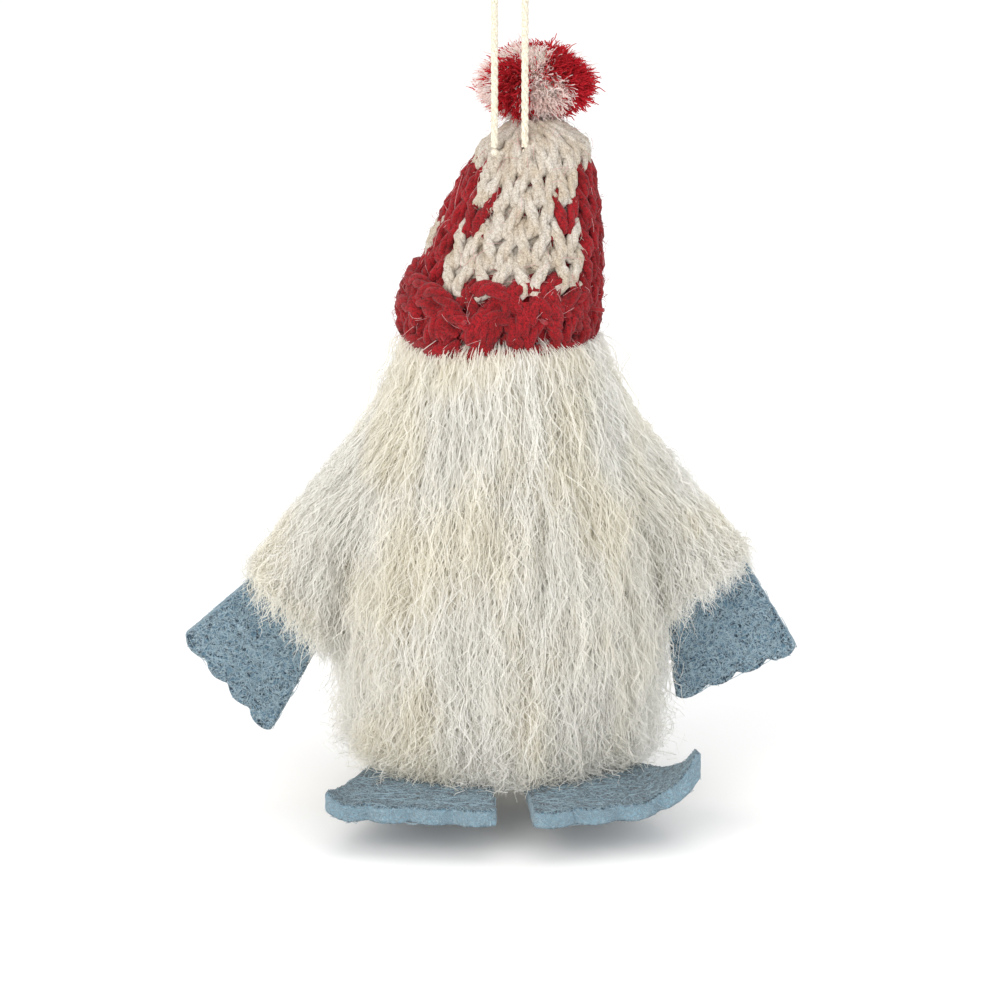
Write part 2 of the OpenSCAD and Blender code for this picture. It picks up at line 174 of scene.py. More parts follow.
def strands(name, paths, thickness, taper=None, roundness=0, caps=False, turns=None):
    """One mesh of many strands, each swept along its own path: round, or flat with a turn for each."""
    curve = bpy.data.curves.new(name, "CURVE")
    curve.dimensions = "3D"
    if turns is None:
        curve.bevel_depth = thickness / 2
        curve.bevel_resolution = roundness
        curve.use_fill_caps = caps
    else:
        curve.extrude = thickness / 2
    for number, path in enumerate(paths):
        spline = curve.splines.new("POLY")
        spline.points.add(len(path) - 1)
        spline.points.foreach_set("co", np.hstack([path, np.ones((len(path), 1))]).ravel())
        if taper is not None:
            spline.points.foreach_set("radius", taper)
        if turns is not None:
            spline.points.foreach_set("tilt", np.full(len(path), turns[number]))
    shape = bpy.data.objects.new(name, curve)
    scene.collection.objects.link(shape)
    mesh = bpy.data.meshes.new_from_object(shape.evaluated_get(bpy.context.evaluated_depsgraph_get()))
    bpy.data.objects.remove(shape)
    mesh.polygons.foreach_set("use_smooth", [True] * len(mesh.polygons))
    piece = bpy.data.objects.new(name, mesh)
    scene.collection.objects.link(piece)
    return piece


def dress(piece, material, body=None):
    """Gives a piece its material, and makes it ride on its body."""
    piece.data.materials.clear()
    piece.data.materials.append(material)
    if body:
        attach(piece, body)
    return piece


def spun_cotton(name, light, shade):
    """Mercerised cotton, spun and laid: a smooth thread with a soft shine and fine fibre lines."""
    material = new_material(name)
    fibre = add(material, "TexNoise", Vector=mapped(material, 0.18 * MM, 0.5 * MM), Scale=1.0, Detail=3.0)
    colour = add(material, "ValToRGB", {"stops": [(0.3, shade), (0.65, light)]}, Fac=fibre.outputs[0])
    return finish_surface(material, colour.outputs[0], fibre.outputs[0], 0.05 * MM, 0.6, 0.2)


cotton = spun_cotton("spun_cotton_cord", "#e8e2d2", "#bdb39c")
cord_line = smoothed(cord_route, 3)
cord_front = np.tile((0.0, 1.0, 0.0), (len(cord_line), 1))
cord_plies = ply_paths(cord_line, cord_front, cord_ply_offset, cord_ply_pitch)
cord = strands("cord_loop", cord_plies, cord_ply_width, roundness=2, caps=True)
dress(cord, cotton, "loop")
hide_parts("hanging_loop")


# ---- Coat ----
# Natural long-pile wool fabric, wrapped round the stuffed body: a woven ground, and on it wool locks
# that hang down in layers, each a bundle of fine wavy fibres that tapers towards its tip.
coat_low, coat_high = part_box("fur_coat")
coat_middle = (coat_low + coat_high) / 2
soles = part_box("left_foot")[0].z
belly_radius = (coat_high.x - coat_low.x) / 2
neck_radius = 15.5 * MM
belly_height = 18 * MM
coat_taper = 1.6
pile_width = 0.17 * MM
pile_points = 10
pile_taper = np.interp(np.linspace(0, 1, pile_points), (0, 0.25, 0.7, 1), (0.8, 1.0, 0.8, 0.35))
crimp = 0.42 * MM
pile_rise = 3.5
lock_count = 900
lock_height_weight = 0.4
lock_lift = 2.4 * MM
loose_share = 0.15
loose_lift = 3.4 * MM
wave_pitch = 1.9 * MM
drift_width = 1.6 * MM
ground_wall = 2 * MM
ground_depth = 0.4 * MM
neck_round = 4 * MM
fibres_per_layer = 7500
# Layers of pile from the hem up: where the roots start and end above the soles, and the fibres' length
coat_layers = ((3, 20, 14), (11, 34, 18), (25, 49, 20), (38, 62, 22), (54, 78, 24))


def coat_radius(z):
    rise = np.clip((z - soles - belly_height) / (coat_high.z - soles - belly_height), 0, 1)
    return neck_radius + (belly_radius - neck_radius) * np.cos(rise * math.pi / 2) ** coat_taper


def wool_pile(name, light, shade, tint):
    """Washed sheep's wool: fine matt fibres, paler and darker in streaks and warmer in patches."""
    material = new_material(name)
    streak = add(material, "TexNoise", Vector=mapped(material, 0.5 * MM, 7 * MM), Scale=1.0, Detail=3.0)
    patch = add(material, "TexNoise", Vector=mapped(material, 12 * MM, 22 * MM), Scale=1.0, Detail=3.0)
    tone = add(material, "ValToRGB", {"stops": [(0.30, shade), (0.66, light)]}, Fac=streak.outputs[0])
    warm = add(material, "ValToRGB", {"stops": [(0.42, "#ffffff"), (0.62, tint)]}, Fac=patch.outputs[0])
    colour = add(material, "Mix", {"data_type": "RGBA", "blend_type": "MULTIPLY"}, Factor=1.0)
    material.node_tree.links.new(tone.outputs[0], colour.inputs[6])
    material.node_tree.links.new(warm.outputs[0], colour.inputs[7])
    return finish_surface(material, colour.outputs[2], streak.outputs[0], 0.03 * MM, 0.85, 0.2, 0.55)


wool = wool_pile("long_wool_pile", "#fdfdfa", "#e7e5df", "#fefcf6")


def frizz(rng, count):
    """Small sideways steps of wool fibres that add up along them, in two directions."""
    steps = rng.normal(0, crimp, (2, count, pile_points))
    steps[:, :, 0] = 0
    return np.cumsum(steps, axis=2) * 0.45 + steps * 0.8


def on_belly(turn, height):
    """A place on the coat for the search of the nearest lock, with heights counted less than turns."""
    return math.cos(turn) * belly_radius, math.sin(turn) * belly_radius, lock_height_weight * height


def coat_locks(rng):
    """The wool locks: the turn and the lift of each, and a search tree of their middles."""
    turn = rng.uniform(-math.pi, math.pi, lock_count)
    height = rng.uniform(soles, coat_high.z, lock_count)
    tree = kdtree.KDTree(lock_count)
    for i in range(lock_count):
        tree.insert(on_belly(turn[i], height[i]), i)
    tree.balance()
    return turn, rng.uniform(0.0, 1.0, lock_count), tree


def pile_strands(name, paths):
    """Flat wool fibres along their paths, each turned its own way."""
    return strands(name, paths, pile_width, pile_taper, turns=random.uniform(0, math.pi, len(paths)))


def coat_pile(rng, locks, count, z_low, z_high, length):
    """Fibres rooted in a band of the coat, which rise off the ground, gather into locks and hang down."""
    lock_turn, lift_share, tree = locks
    turn = rng.uniform(-math.pi, math.pi, count)
    root = soles + rng.uniform(z_low, z_high, count)
    nearest = [tree.find(on_belly(t, z))[1] for t, z in zip(turn, root)]
    wanted = rng.uniform(0.65, 1.15, count) * length
    room = root - soles - rng.uniform(1.5, 5.5, count) * MM
    reach = np.minimum(wanted, room)
    loose = rng.random(count) < loose_share
    lift = 0.5 * MM + lock_lift * lift_share[nearest] + rng.uniform(0, 1.5, count) * MM
    lift += loose * rng.uniform(0, loose_lift, count)
    pull = rng.uniform(0.25, 0.8, count) * ~loose
    wave = rng.uniform(0.2, 0.6, count) * MM
    phase = np.array([noise.noise(Vector((math.cos(t) * 4, math.sin(t) * 4, z / (12 * MM))))
                      for t, z in zip(turn, root)]) * 6 + rng.uniform(0, 1.2, count)
    s = np.linspace(0, 1, pile_points)[None, :]
    z = root[:, None] - reach[:, None] * s * 0.98
    arm_band = np.interp(root - soles, (20 * MM, 34 * MM, 60 * MM, 70 * MM), (0, 1, 1, 0))
    beside_arm = 1.8 * MM * np.abs(np.cos(turn)) ** 4 * arm_band
    under_hat = np.clip((root - coat_high.z + 6 * MM) / (6 * MM), 0, 0.8)[:, None]
    rise = under_hat + (1 - under_hat) * (1 - np.exp(-pile_rise * s))
    below_hat = np.interp(coat_high.z - z, (0, 1 * MM, 6 * MM, 13 * MM), (0.1, 0.35, 0.7, 1))
    lifted = (lift + beside_arm)[:, None] * rise * below_hat
    radius = coat_radius(z) - 0.5 * MM + lifted
    gather = (lock_turn[nearest] - turn + math.pi) % (2 * math.pi) - math.pi
    sway = wave[:, None] * np.sin(reach[:, None] * s / wave_pitch + phase[:, None]) * s
    wander = np.array([noise.noise(Vector((math.cos(t) * 1.5, math.sin(t) * 1.5, z0 / (30 * MM))))
                       for t, z0 in zip(turn, root)])
    drift = drift_width * wander[:, None] * s * s * 2
    side_step, out_step = frizz(rng, count) * (1 + loose[:, None])
    tucked = np.clip(2.2 * (z - coat_high.z + 0.5 * MM), 0, 4.5 * MM)
    radius = radius + out_step - tucked
    angle = turn[:, None] + gather[:, None] * pull[:, None] * s ** 1.2 + (sway + drift + side_step) / radius
    return np.stack([coat_middle.x + radius * np.cos(angle), coat_middle.y + radius * np.sin(angle), z], 2)


def coat_ground():
    """The woven ground of the coat: a spun shell, open below where the base disc closes it."""
    shape = bmesh.new()
    heights = np.linspace(coat_low.z + 2 * MM, coat_high.z, 24)
    profile = [(belly_radius - 3 * MM, coat_low.z), (belly_radius - 1.5 * MM, coat_low.z + 0.6 * MM)]
    for z in heights:
        rounding = max(0, z - coat_high.z + neck_round) ** 2 / (2 * neck_round)
        profile.append((float(coat_radius(z)) - rounding, float(z)))
    profile.append((3 * MM, coat_high.z))
    line = [shape.verts.new((r - ground_depth, 0, z)) for r, z in profile]
    edges = [shape.edges.new(pair) for pair in zip(line, line[1:])]
    bmesh.ops.spin(shape, geom=line + edges, axis=(0, 0, 1), cent=(0, 0, 0), angle=2 * math.pi, steps=72,
                   use_merge=True)
    bmesh.ops.remove_doubles(shape, verts=shape.verts, dist=0.01 * MM)
    bmesh.ops.recalc_face_normals(shape, faces=shape.faces)
    bmesh.ops.translate(shape, verts=shape.verts, vec=(coat_middle.x, coat_middle.y, 0))
    mesh = bpy.data.meshes.new("coat_ground")
    shape.to_mesh(mesh)
    shape.free()
    piece = bpy.data.objects.new("coat_ground", mesh)
    scene.collection.objects.link(piece)
    wall = piece.modifiers.new("wall", "SOLIDIFY")
    wall.thickness = ground_wall
    wall.offset = -1
    mesh.polygons.foreach_set("use_smooth", [True] * len(mesh.polygons))
    return piece


pile_ground = spun_cotton("woven_pile_ground", "#dedacf", "#c4beb0")
ground = dress(coat_ground(), pile_ground, "gnome")
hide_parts("fur_coat")
random = np.random.default_rng(41)
noise.seed_set(41)
locks = coat_locks(random)
for number, (low, high, length) in enumerate(coat_layers, 1):
    pile = coat_pile(random, locks, fibres_per_layer, low * MM, high * MM, length * MM)
    dress(pile_strands(f"coat_pile_{number}", pile), wool, "gnome")


# ---- Sleeves ----
# Two tubes of the same pile fabric, sewn to the coat at the shoulders. Their pile runs down the arm and
# hangs over the hand in a ragged edge, and the pile of the shoulder covers the seam.
joints = {joint["name"]: joint for joint in frame["joints"]}
sleeve_half_depth = 7 * MM
sleeve_end_radius = 9.5 * MM
sleeve_top_radius = 2 * MM
sleeve_pile = 6800
shoulder_pile = 4500
sleeve_pressed = 1.1 * MM
hem_to_roots = 3.2 * MM
lock_size = 3.2 * MM
lock_sway = 1.5 * MM


def softened(node, name, voxel, rounds, rough, pressed=0.0):
    """A copy of a CAD piece with its edges worn soft, its faces slightly uneven and its skin pressed in."""
    shape = bmesh.new()
    shape.from_mesh(frame["nodes"][node].data)
    bmesh.ops.remove_doubles(shape, verts=shape.verts, dist=0.005 * MM)
    mesh = bpy.data.meshes.new(name)
    shape.to_mesh(mesh)
    shape.free()
    draft = bpy.data.objects.new(name, mesh)
    scene.collection.objects.link(draft)
    even = draft.modifiers.new("even", "REMESH")
    even.mode = "VOXEL"
    even.voxel_size = voxel
    soft = draft.modifiers.new("soft", "SMOOTH")
    soft.factor = 0.5
    soft.iterations = rounds
    final = bpy.data.meshes.new_from_object(draft.evaluated_get(bpy.context.evaluated_depsgraph_get()))
    bpy.data.objects.remove(draft)
    for vertex, normal in zip(final.vertices, [n.vector.copy() for n in final.vertex_normals]):
        bump = noise.fractal(vertex.co / (1.6 * MM), 0.8, 2.2, 3)
        vertex.co += normal * (rough * bump - pressed)
    final.polygons.foreach_set("use_smooth", [True] * len(final.polygons))
    piece = bpy.data.objects.new(name, final)
    scene.collection.objects.link(piece)
    return piece


def sleeve_frame(side):
    """The sleeve's shoulder, its wrist, its way down, its outward side and the way out past its hem."""
    shoulder = Vector(joints[f"{side}_arm_lift"]["pos_m"])
    wrist = Vector(joints[f"{side}_hand_flex"]["pos_m"])
    hem_line = Vector(joints[f"{side}_hand_flex"]["axis"])
    down = (wrist - shoulder).normalized()
    sign = -1 if side == "left" else 1
    out = Vector((-down.z * sign, 0, down.x * sign))
    leave = hem_line.cross(Vector((0, 1, 0))).normalized()
    if leave.z > 0:
        leave = -leave
    return shoulder, wrist, down, out, leave


def sleeve_pile_paths(rng, side, count):
    """Fibres rooted all over a sleeve: they lie down along it, sag and gather, and end past its hem."""
    shoulder, wrist, down, out, leave = (np.array(v) for v in sleeve_frame(side))
    length = np.linalg.norm(wrist - shoulder)
    share = rng.random(count) ** 0.7
    turn = rng.uniform(-math.pi, math.pi, count)
    radius = sleeve_top_radius + (sleeve_end_radius - sleeve_top_radius) * share
    across = radius * np.cos(turn)
    deep = np.clip(radius * np.sin(turn), -sleeve_half_depth, sleeve_half_depth)
    root = (shoulder + down * (share * length)[:, None] + out * across[:, None]
            + np.array((0, 1, 0)) * deep[:, None])
    keep = (root - wrist) @ leave < -hem_to_roots
    root, turn, share = root[keep], turn[keep], share[keep]
    count = len(root)
    away = out * np.cos(turn)[:, None] + np.array((0, 1, 0)) * np.sin(turn)[:, None]
    reach = rng.uniform(8, 17, count) * MM
    lift = rng.uniform(0.3, 3.0, count) * MM
    sag = rng.uniform(0.05, 0.45, count)
    way = down * (1 - sag)[:, None] + np.array((0, 0, -1)) * sag[:, None]
    way /= np.linalg.norm(way, axis=1)[:, None]
    past = rng.uniform(-2.2, 0.6, count) * MM + rng.exponential(0.9 * MM, count)
    room = (past - (root - wrist) @ leave) / np.maximum(way @ leave, 0.3)
    reach = np.minimum(reach, room)
    s = np.linspace(0, 1, pile_points)
    sideways = np.array([noise.noise_vector(Vector(p) / lock_size) for p in root])
    side_step, out_step = frizz(rng, count)
    off_ground = lift[:, None] * (1 - np.exp(-pile_rise * s)) - sleeve_pressed + out_step
    return (root[:, None] + way[:, None] * (reach[:, None] * s)[:, :, None]
            + away[:, None] * off_ground[:, :, None]
            + sideways[:, None] * (lock_sway * s ** 1.3)[None, :, None]
            + np.cross(away, way)[:, None] * side_step[:, :, None])


# How the pile flows from the neck over the shoulder: heights above the soles, reach to the side, depth
shoulder_heights = np.array((30, 36, 44, 50, 57, 64, 74)) * MM
shoulder_reaches = np.array((43, 40.0, 34.5, 28.8, 23.5, 19.5, 15.0)) * MM
shoulder_depths = np.array((7.5, 8, 9.5, 11.5, 14.5, 16.5, 15.0)) * MM


def shoulder_pile_paths(rng, side, count):
    """Fibres rooted on the coat and the sleeve's top, that flow from the neck down over the shoulder."""
    sign = -1 if side == "left" else 1
    turn = np.clip(rng.normal(0, 0.62, count), -1.35, 1.35)
    start = rng.uniform(46, 73.5, count) * MM
    reach = rng.uniform(9, 19, count) * MM
    s = np.linspace(0, 1, pile_points)[None, :]
    height = np.maximum(start[:, None] - reach[:, None] * s, 33 * MM)
    patch = np.array([noise.noise(Vector((t * 3, z / (4 * MM), sign))) for t, z in zip(turn, start)])
    lift = rng.uniform(-1.6, 0.5, count) * MM + patch * 1.2 * MM
    side_step, out_step = frizz(rng, count)
    out = (np.interp(height, shoulder_heights, shoulder_reaches) + lift[:, None] * s ** 0.5
           - 1.2 * MM * (1 - s) ** 2 + out_step)
    deep = np.interp(height, shoulder_heights, shoulder_depths) + lift[:, None] * s
    spread = turn[:, None] + patch[:, None] * 0.22 * s
    return np.stack([coat_middle.x + sign * out * np.cos(spread) ** 0.8,
                     coat_middle.y + deep * np.sin(spread) + side_step, soles + height], 2)


for side in ("left", "right"):
    tube = softened(f"{side}_sleeve", f"{side}_sleeve_ground", 0.7 * MM, 4, 0.1 * MM, sleeve_pressed)
    dress(tube, pile_ground, f"{side}_arm")
    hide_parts(f"{side}_sleeve")
    pile = sleeve_pile_paths(random, side, sleeve_pile)
    dress(pile_strands(f"{side}_sleeve_pile", pile), wool, f"{side}_arm")
    cover = pile_strands(f"{side}_shoulder_pile", shoulder_pile_paths(random, side, shoulder_pile))
    dress(cover, wool)
    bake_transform(cover)


# ---- Hands and feet ----
# Each is one piece of thick pressed wool felt, cut with scissors: soft faces with curled fibres and small
# pits painted dark as painted shade, paler cut edges, and scalloped fingers or toes. The feet's faces are
# painted darker than the hands' as painted shade.
felt_hair_width = 0.1 * MM
felt_hairs = {"count": 1500, "length": 2.6 * MM, "lift": 0.06 * MM, "curl": 0.9, "reach": 0.3 * MM}


def pressed_felt(name, body, edge, pit_shade, hair, side):
    """Pressed wool felt: matt and mottled, with fibres curling over small pits painted dark as shade, and a
    paler cut side.
    """
    material = new_material(name)
    where = mapped(material, 1 * MM, 1 * MM)
    mottle = add(material, "TexNoise", Vector=where, Scale=0.55, Detail=4.0, Roughness=0.65)
    pits = add(material, "TexNoise", Vector=where, Scale=1.15, Detail=2.0, Roughness=0.6, Distortion=0.8)
    curls = [add(material, "TexNoise", {"noise_dimensions": "4D"}, Vector=where, W=w, Scale=0.9, Detail=1.0,
                 Distortion=0.9) for w in (0.0, 7.0, 13.0)]
    cut = add(material, "Attribute", {"attribute_name": "cut_edge"}).outputs["Fac"]
    face = add(material, "ValToRGB", {"stops": [(0.34, body), (0.68, edge)]}, Fac=mottle.outputs[0])
    base = add(material, "Mix", {"data_type": "RGBA"}, Factor=cut)
    material.node_tree.links.new(face.outputs[0], base.inputs[6])
    base.inputs[7].default_value = linear(side)
    # The pits get the near-black pit colour: painted shade inside them, and the bump sinks them in as well.
    dark = add(material, "ValToRGB", {"stops": [(0.40, "#ffffff"), (0.49, "#000000")]}, Fac=pits.outputs[0])
    on_face = add(material, "Math", {"operation": "SUBTRACT"}, _0=1.0, _1=cut).outputs[0]
    pitted = add(material, "Math", {"operation": "MULTIPLY"}, _0=dark.outputs[0], _1=on_face)
    with_pits = add(material, "Mix", {"data_type": "RGBA"}, Factor=pitted.outputs[0])
    material.node_tree.links.new(base.outputs[2], with_pits.inputs[6])
    with_pits.inputs[7].default_value = linear(pit_shade)
    colour = with_pits.outputs[2]
    height = add(material, "Math", {"operation": "MULTIPLY"}, _0=dark.outputs[0], _1=-1.0).outputs[0]
    thin_line = [(0.465, "#000000"), (0.5, "#ffffff"), (0.535, "#000000")]
    for curl in curls:
        line = add(material, "ValToRGB", {"stops": thin_line}, Fac=curl.outputs[0])
        mixed = add(material, "Mix", {"data_type": "RGBA"}, Factor=line.outputs[0])
        material.node_tree.links.new(colour, mixed.inputs[6])
        mixed.inputs[7].default_value = linear(hair)
        colour = mixed.outputs[2]
        height = add(material, "Math", {"operation": "ADD"}, _0=height, _1=line.outputs[0]).outputs[0]
    return finish_surface(material, colour, height, 0.12 * MM, 0.9, 0.25)


def surface_hairs(rng, pieces, count, length, lift, curl, reach, points=7):
    """Fine fibres that lie on a surface, each one curving away from where it is rooted."""
    paths = []
    for piece in pieces:
        where = np.array([v.co[:] for v in piece.data.vertices])
        normal = np.array([n.vector[:] for n in piece.data.vertex_normals])
        near = kdtree.KDTree(len(where))
        for i, point in enumerate(where):
            near.insert(point, i)
        near.balance()
        for i in rng.integers(0, len(where), count // len(pieces)):
            way = np.cross(normal[i], rng.normal(size=3))
            way /= np.linalg.norm(way)
            bend = np.cross(normal[i], way)
            s = np.linspace(0, 1, points)[:, None]
            long = rng.uniform(0.5, 1.2) * length
            rise = lift * rng.uniform(0.1, 1.0)
            path = (where[i] + way * long * s + bend * long * curl * rng.normal() * s * s
                    + normal[i] * (rise * 4 * s * (1 - s) + rise * 0.6 * s - 0.03 * MM))
            if near.find(path[-1])[2] < rise + reach:
                paths.append(path)
    return paths


# The fourth colour of each felt is the painted shade in its pits.
hand_felt = pressed_felt("pressed_wool_felt", "#405c6d", "#587587", "#1a2f3d", "#9db4c0", "#74909f")
# The feet's felt is the hands' felt with darker face colours: painted shade, not a darker felt.
shaded_foot_felt = pressed_felt("pressed_wool_felt_painted_shade", "#304b5a", "#496676", "#14262f", "#88a2af", "#728e9d")
felt_hair = spun_cotton("loose_felt_fibre", "#9ab1bc", "#6c8999")
# Each cut piece of felt: the flat piece's sides and area in metres, its body, the axis through its
# thickness, and its felt
felt_cuts = {"hand": ((0.022, 0.018), 340e-6, "palm", 1, hand_felt),
             "foot": ((0.030, 0.033), 730e-6, "sole", 2, shaded_foot_felt)}
for side in ("left", "right"):
    for part, (cut, area, body, thick_way, felt) in felt_cuts.items():
        slab = softened(f"{side}_{part}", f"{side}_{part}_felt", 0.32 * MM, 3, 0.07 * MM)
        face_share = np.abs([n.vector[thick_way] for n in slab.data.vertex_normals])
        edge_share = np.clip(1.25 - 1.9 * face_share, 0, 1)
        slab.data.attributes.new("cut_edge", "FLOAT", "POINT").data.foreach_set("value", edge_share)
        dress(slab, felt, f"{side}_{body}")
        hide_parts(f"{side}_{part}")
        hairs = strands(f"{side}_{part}_fibres", surface_hairs(random, [slab], **felt_hairs), felt_hair_width)
        dress(hairs, felt_hair, f"{side}_{body}")


# ---- Hat ----
# Hand-knitted in thick three-ply wool, in the round, with two colours: red below and at the sides, cream
# above. Each stitch is a loop whose two legs make a plump V. Its lower edge is a heavy red roll.
knit_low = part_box("hat_knit")[0]
tie_low, tie_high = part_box("pompom_tie")
hat_height = 30 * MM
hat_radius = 14.5 * MM
tip_radius = 7 * MM
hat_flat = 0.86
hat_lean = Vector(((tie_low.x + tie_high.x) / 2 - coat_middle.x, 6.22 * MM, 0))
lean_bend = 1.3
first_course = 2.3 * MM
stitch_rise = 4.6 * MM
stitch_height = 3.6 * MM
stitch_depth = 0.55 * MM
yarn_width = 2.4 * MM
yarn_ply_pitch = 8 * MM
ply_share = 0.56
hair_width = 0.06 * MM
gathered_legs = 14
stitch_points = 18
stitch_lean = 0.26
knit_lift = 0.5 * MM
hat_tilt = 0.07
# One row per course from the rim up, one letter per stitch: it starts behind the hat, and its middle is
# the front. Upper courses have fewer stitches.
hat_chart = (
    "RRRRRRRRRRRRRR",
    "RRRRRRRRRRRRRR",
    "CRRRRCCCCRRRRC",
    "CCRCRCCCCRRRCC",
    "CCRRRRCCRRRRCC",
    "CRRRRCCCCRRRRC",
    "CCCCCCCCCCCC",
)


def hat_place(turn, rise, out):
    """A point on the leaning hat: turn round it, height above its lower edge, distance off its surface."""
    share = np.clip(rise / hat_height, 0, 1.15)
    radius = np.where(rise <= hat_height, hat_radius + (tip_radius - hat_radius) * share ** 2,
                      tip_radius - (rise - hat_height) * 1.2)
    lean = np.clip(share, 0, 1) ** lean_bend
    return np.stack([
        coat_middle.x + hat_lean.x * lean + (radius + out) * np.cos(turn),
        coat_middle.y + hat_lean.y * lean + (hat_flat * radius + out) * np.sin(turn),
        knit_low.z + rise + hat_tilt * radius * np.cos(turn) * (1 - 0.6 * lean)], -1)


def knit_loop(rng, middle, pitch, rise, height, depth, out):
    """The middle line of one stitch: up from behind, one leg, over behind, and the other leg down."""
    t = np.linspace(0, 2 * math.pi, stitch_points)
    turn = middle + pitch * (t / (2 * math.pi) - 0.5 + stitch_lean * np.sin(2 * t)) + rng.normal(0, 0.015)
    up = rise - height * np.cos(t) + rng.normal(0, 0.15) * MM
    return hat_place(turn, up, out + depth * (0.6 * np.cos(t) - np.cos(2 * t)))


def facing(path):
    """The outward way at each point of a path on the hat."""
    centre = np.stack([np.full(len(path), coat_middle.x), np.full(len(path), coat_middle.y), path[:, 2]], 1)
    away = path - centre
    return away / np.linalg.norm(away, axis=1)[:, None]


def hand_spun_yarn(name, light, shade, haze, through=0.0):
    """Hand-spun wool yarn: soft, hairy and slightly uneven in colour, with fibres laid along the twist."""
    material = new_material(name)
    fibre = add(material, "TexNoise", Vector=mapped(material, 0.28 * MM, 0.28 * MM), Scale=1.0, Detail=4.0,
                Distortion=0.8)
    dye = add(material, "TexNoise", Vector=mapped(material, 3.5 * MM, 3.5 * MM), Scale=1.0, Detail=2.0)
    thread = add(material, "ValToRGB", {"stops": [(0.33, shade), (0.6, light)]}, Fac=fibre.outputs[0])
    cloud = add(material, "ValToRGB", {"stops": [(0.4, "#ffffff"), (0.65, haze)]}, Fac=dye.outputs[0])
    colour = add(material, "Mix", {"data_type": "RGBA", "blend_type": "MULTIPLY"}, Factor=1.0)
    material.node_tree.links.new(thread.outputs[0], colour.inputs[6])
    material.node_tree.links.new(cloud.outputs[0], colour.inputs[7])
    return finish_surface(material, colour.outputs[2], fibre.outputs[0], 0.14 * MM, 0.9, 0.1, through)


red_yarn = hand_spun_yarn("hand_spun_red_yarn", "#a0101b", "#4e060d", "#dcc4c4")
cream_yarn = hand_spun_yarn("hand_spun_cream_yarn", "#cfc9c0", "#a09585", "#f0e8dc")


def plied(path, width=yarn_width, start=0.0):
    return ply_paths(path, facing(path), 0.22 * width, yarn_ply_pitch, start)


knit_paths = {"R": [], "C": []}
for course, row in enumerate(hat_chart):
    pitch = 2 * math.pi / len(row)
    for column, colour in enumerate(row):
        middle = (column + 0.5) * pitch - 1.5 * math.pi
        rise = first_course + course * stitch_rise
        loop = knit_loop(random, middle, pitch, rise, stitch_height, stitch_depth, knit_lift)
        knit_paths[colour] += plied(loop, start=random.random())
for turn in np.arange(gathered_legs) * 2 * math.pi / gathered_legs:
    rise = np.linspace(hat_height - 1.5 * MM, hat_height + 4.0 * MM, 10)
    gather = hat_place(np.full(10, turn) + 0.15 * random.normal(), rise, np.linspace(0.2, 0.6, 10) * MM)
    gather[:, 2] = np.minimum(gather[:, 2], knit_low.z + hat_height + 1.2 * MM)
    knit_paths["C"] += plied(gather, start=random.random())
hat_red = strands("hat_red_stitches", knit_paths["R"], ply_share * yarn_width, roundness=1, caps=True)
hat_cream = strands("hat_cream_stitches", knit_paths["C"], ply_share * yarn_width, roundness=1, caps=True)
dress(hat_red, red_yarn, "gnome")
dress(hat_cream, cream_yarn, "gnome")
knit_back = softened("hat_knit", "hat_inner_knit", 0.6 * MM, 3, 0.12 * MM)
dress(knit_back, cream_yarn, "gnome")
knit_back.data.materials.append(red_yarn)
for face in knit_back.data.polygons:
    course = round((face.center.z - knit_low.z - first_course) / stitch_rise)
    row = hat_chart[min(len(hat_chart) - 1, max(0, course))]
    turn = math.atan2(face.center.y - coat_middle.y, face.center.x - coat_middle.x)
    from_back = (turn / (2 * math.pi) + 0.75) % 1
    face.material_index = 1 if row[int(from_back * len(row))] == "R" else 0
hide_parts("hat_knit")

rim_yarn_width = 2.9 * MM
rim_loops = 15
rim_legs = 40
rim_sag = 2.6
rim_sag_turn = math.radians(-107)
rim_sag_spread = 0.55
# Rows of the rolled edge from below, in mm: rise, distance off the knit, arch of a loop, and share of the sag
rim_rows = ((2.0, 0.2, -0.9, 1.0), (4.6, 0.9, 2.0, 0.6), (7.4, 0.7, 2.2, 0.1))
rim_paths = []


def add_rim_yarn(path):
    rim_paths.extend(ply_paths(path, facing(path), 0.22 * rim_yarn_width, yarn_ply_pitch, random.random()))


for row, (rise, out, arch, sag_share) in enumerate(rim_rows):
    for column in range(rim_loops):
        t = np.linspace(0, 1, 12)
        lean = random.normal(0, 1.3)
        along = column + 0.5 * row + random.uniform(1.05, 1.5) * t + random.normal(0, 0.12)
        turn = 2 * math.pi / rim_loops * along
        from_sag = (turn - rim_sag_turn + math.pi) % (2 * math.pi) - math.pi
        sag = rim_sag * np.exp(-(from_sag / rim_sag_spread) ** 2) * sag_share
        up = rise + arch * np.sin(math.pi * t) + lean * (t - 0.5) * 2 + random.normal(0, 0.4) - sag
        bump = out + 0.9 * np.sin(math.pi * t) - 0.5 + random.normal(0, 0.3)
        bump -= (1.0 + 0.4 * row) * np.cos(turn)
        add_rim_yarn(hat_place(turn, up * MM, bump * MM))
for leg in range(rim_legs):
    t = np.linspace(0, 1, 9)
    turn = 2 * math.pi * (leg + random.uniform(0, 0.7)) / rim_legs + random.choice((-0.16, 0.16)) * t
    up = random.uniform(0.9, 3.2) + random.uniform(4.0, 6.0) * t
    bump = random.uniform(0.0, 0.9) + 0.8 * np.sin(math.pi * t) - 0.9 * np.cos(turn)
    add_rim_yarn(hat_place(turn, up * MM, bump * MM))
rim = strands("hat_rolled_edge", rim_paths, ply_share * rim_yarn_width, roundness=1, caps=True)
dress(rim, red_yarn, "gnome")
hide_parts("hat_rim")
pale_hair = hand_spun_yarn("loose_pale_wool", "#e2b9b6", "#c98f90", "#f0e4e4")
red_hair = hand_spun_yarn("loose_red_wool", "#a82631", "#8c1c27", "#e8d4d4")
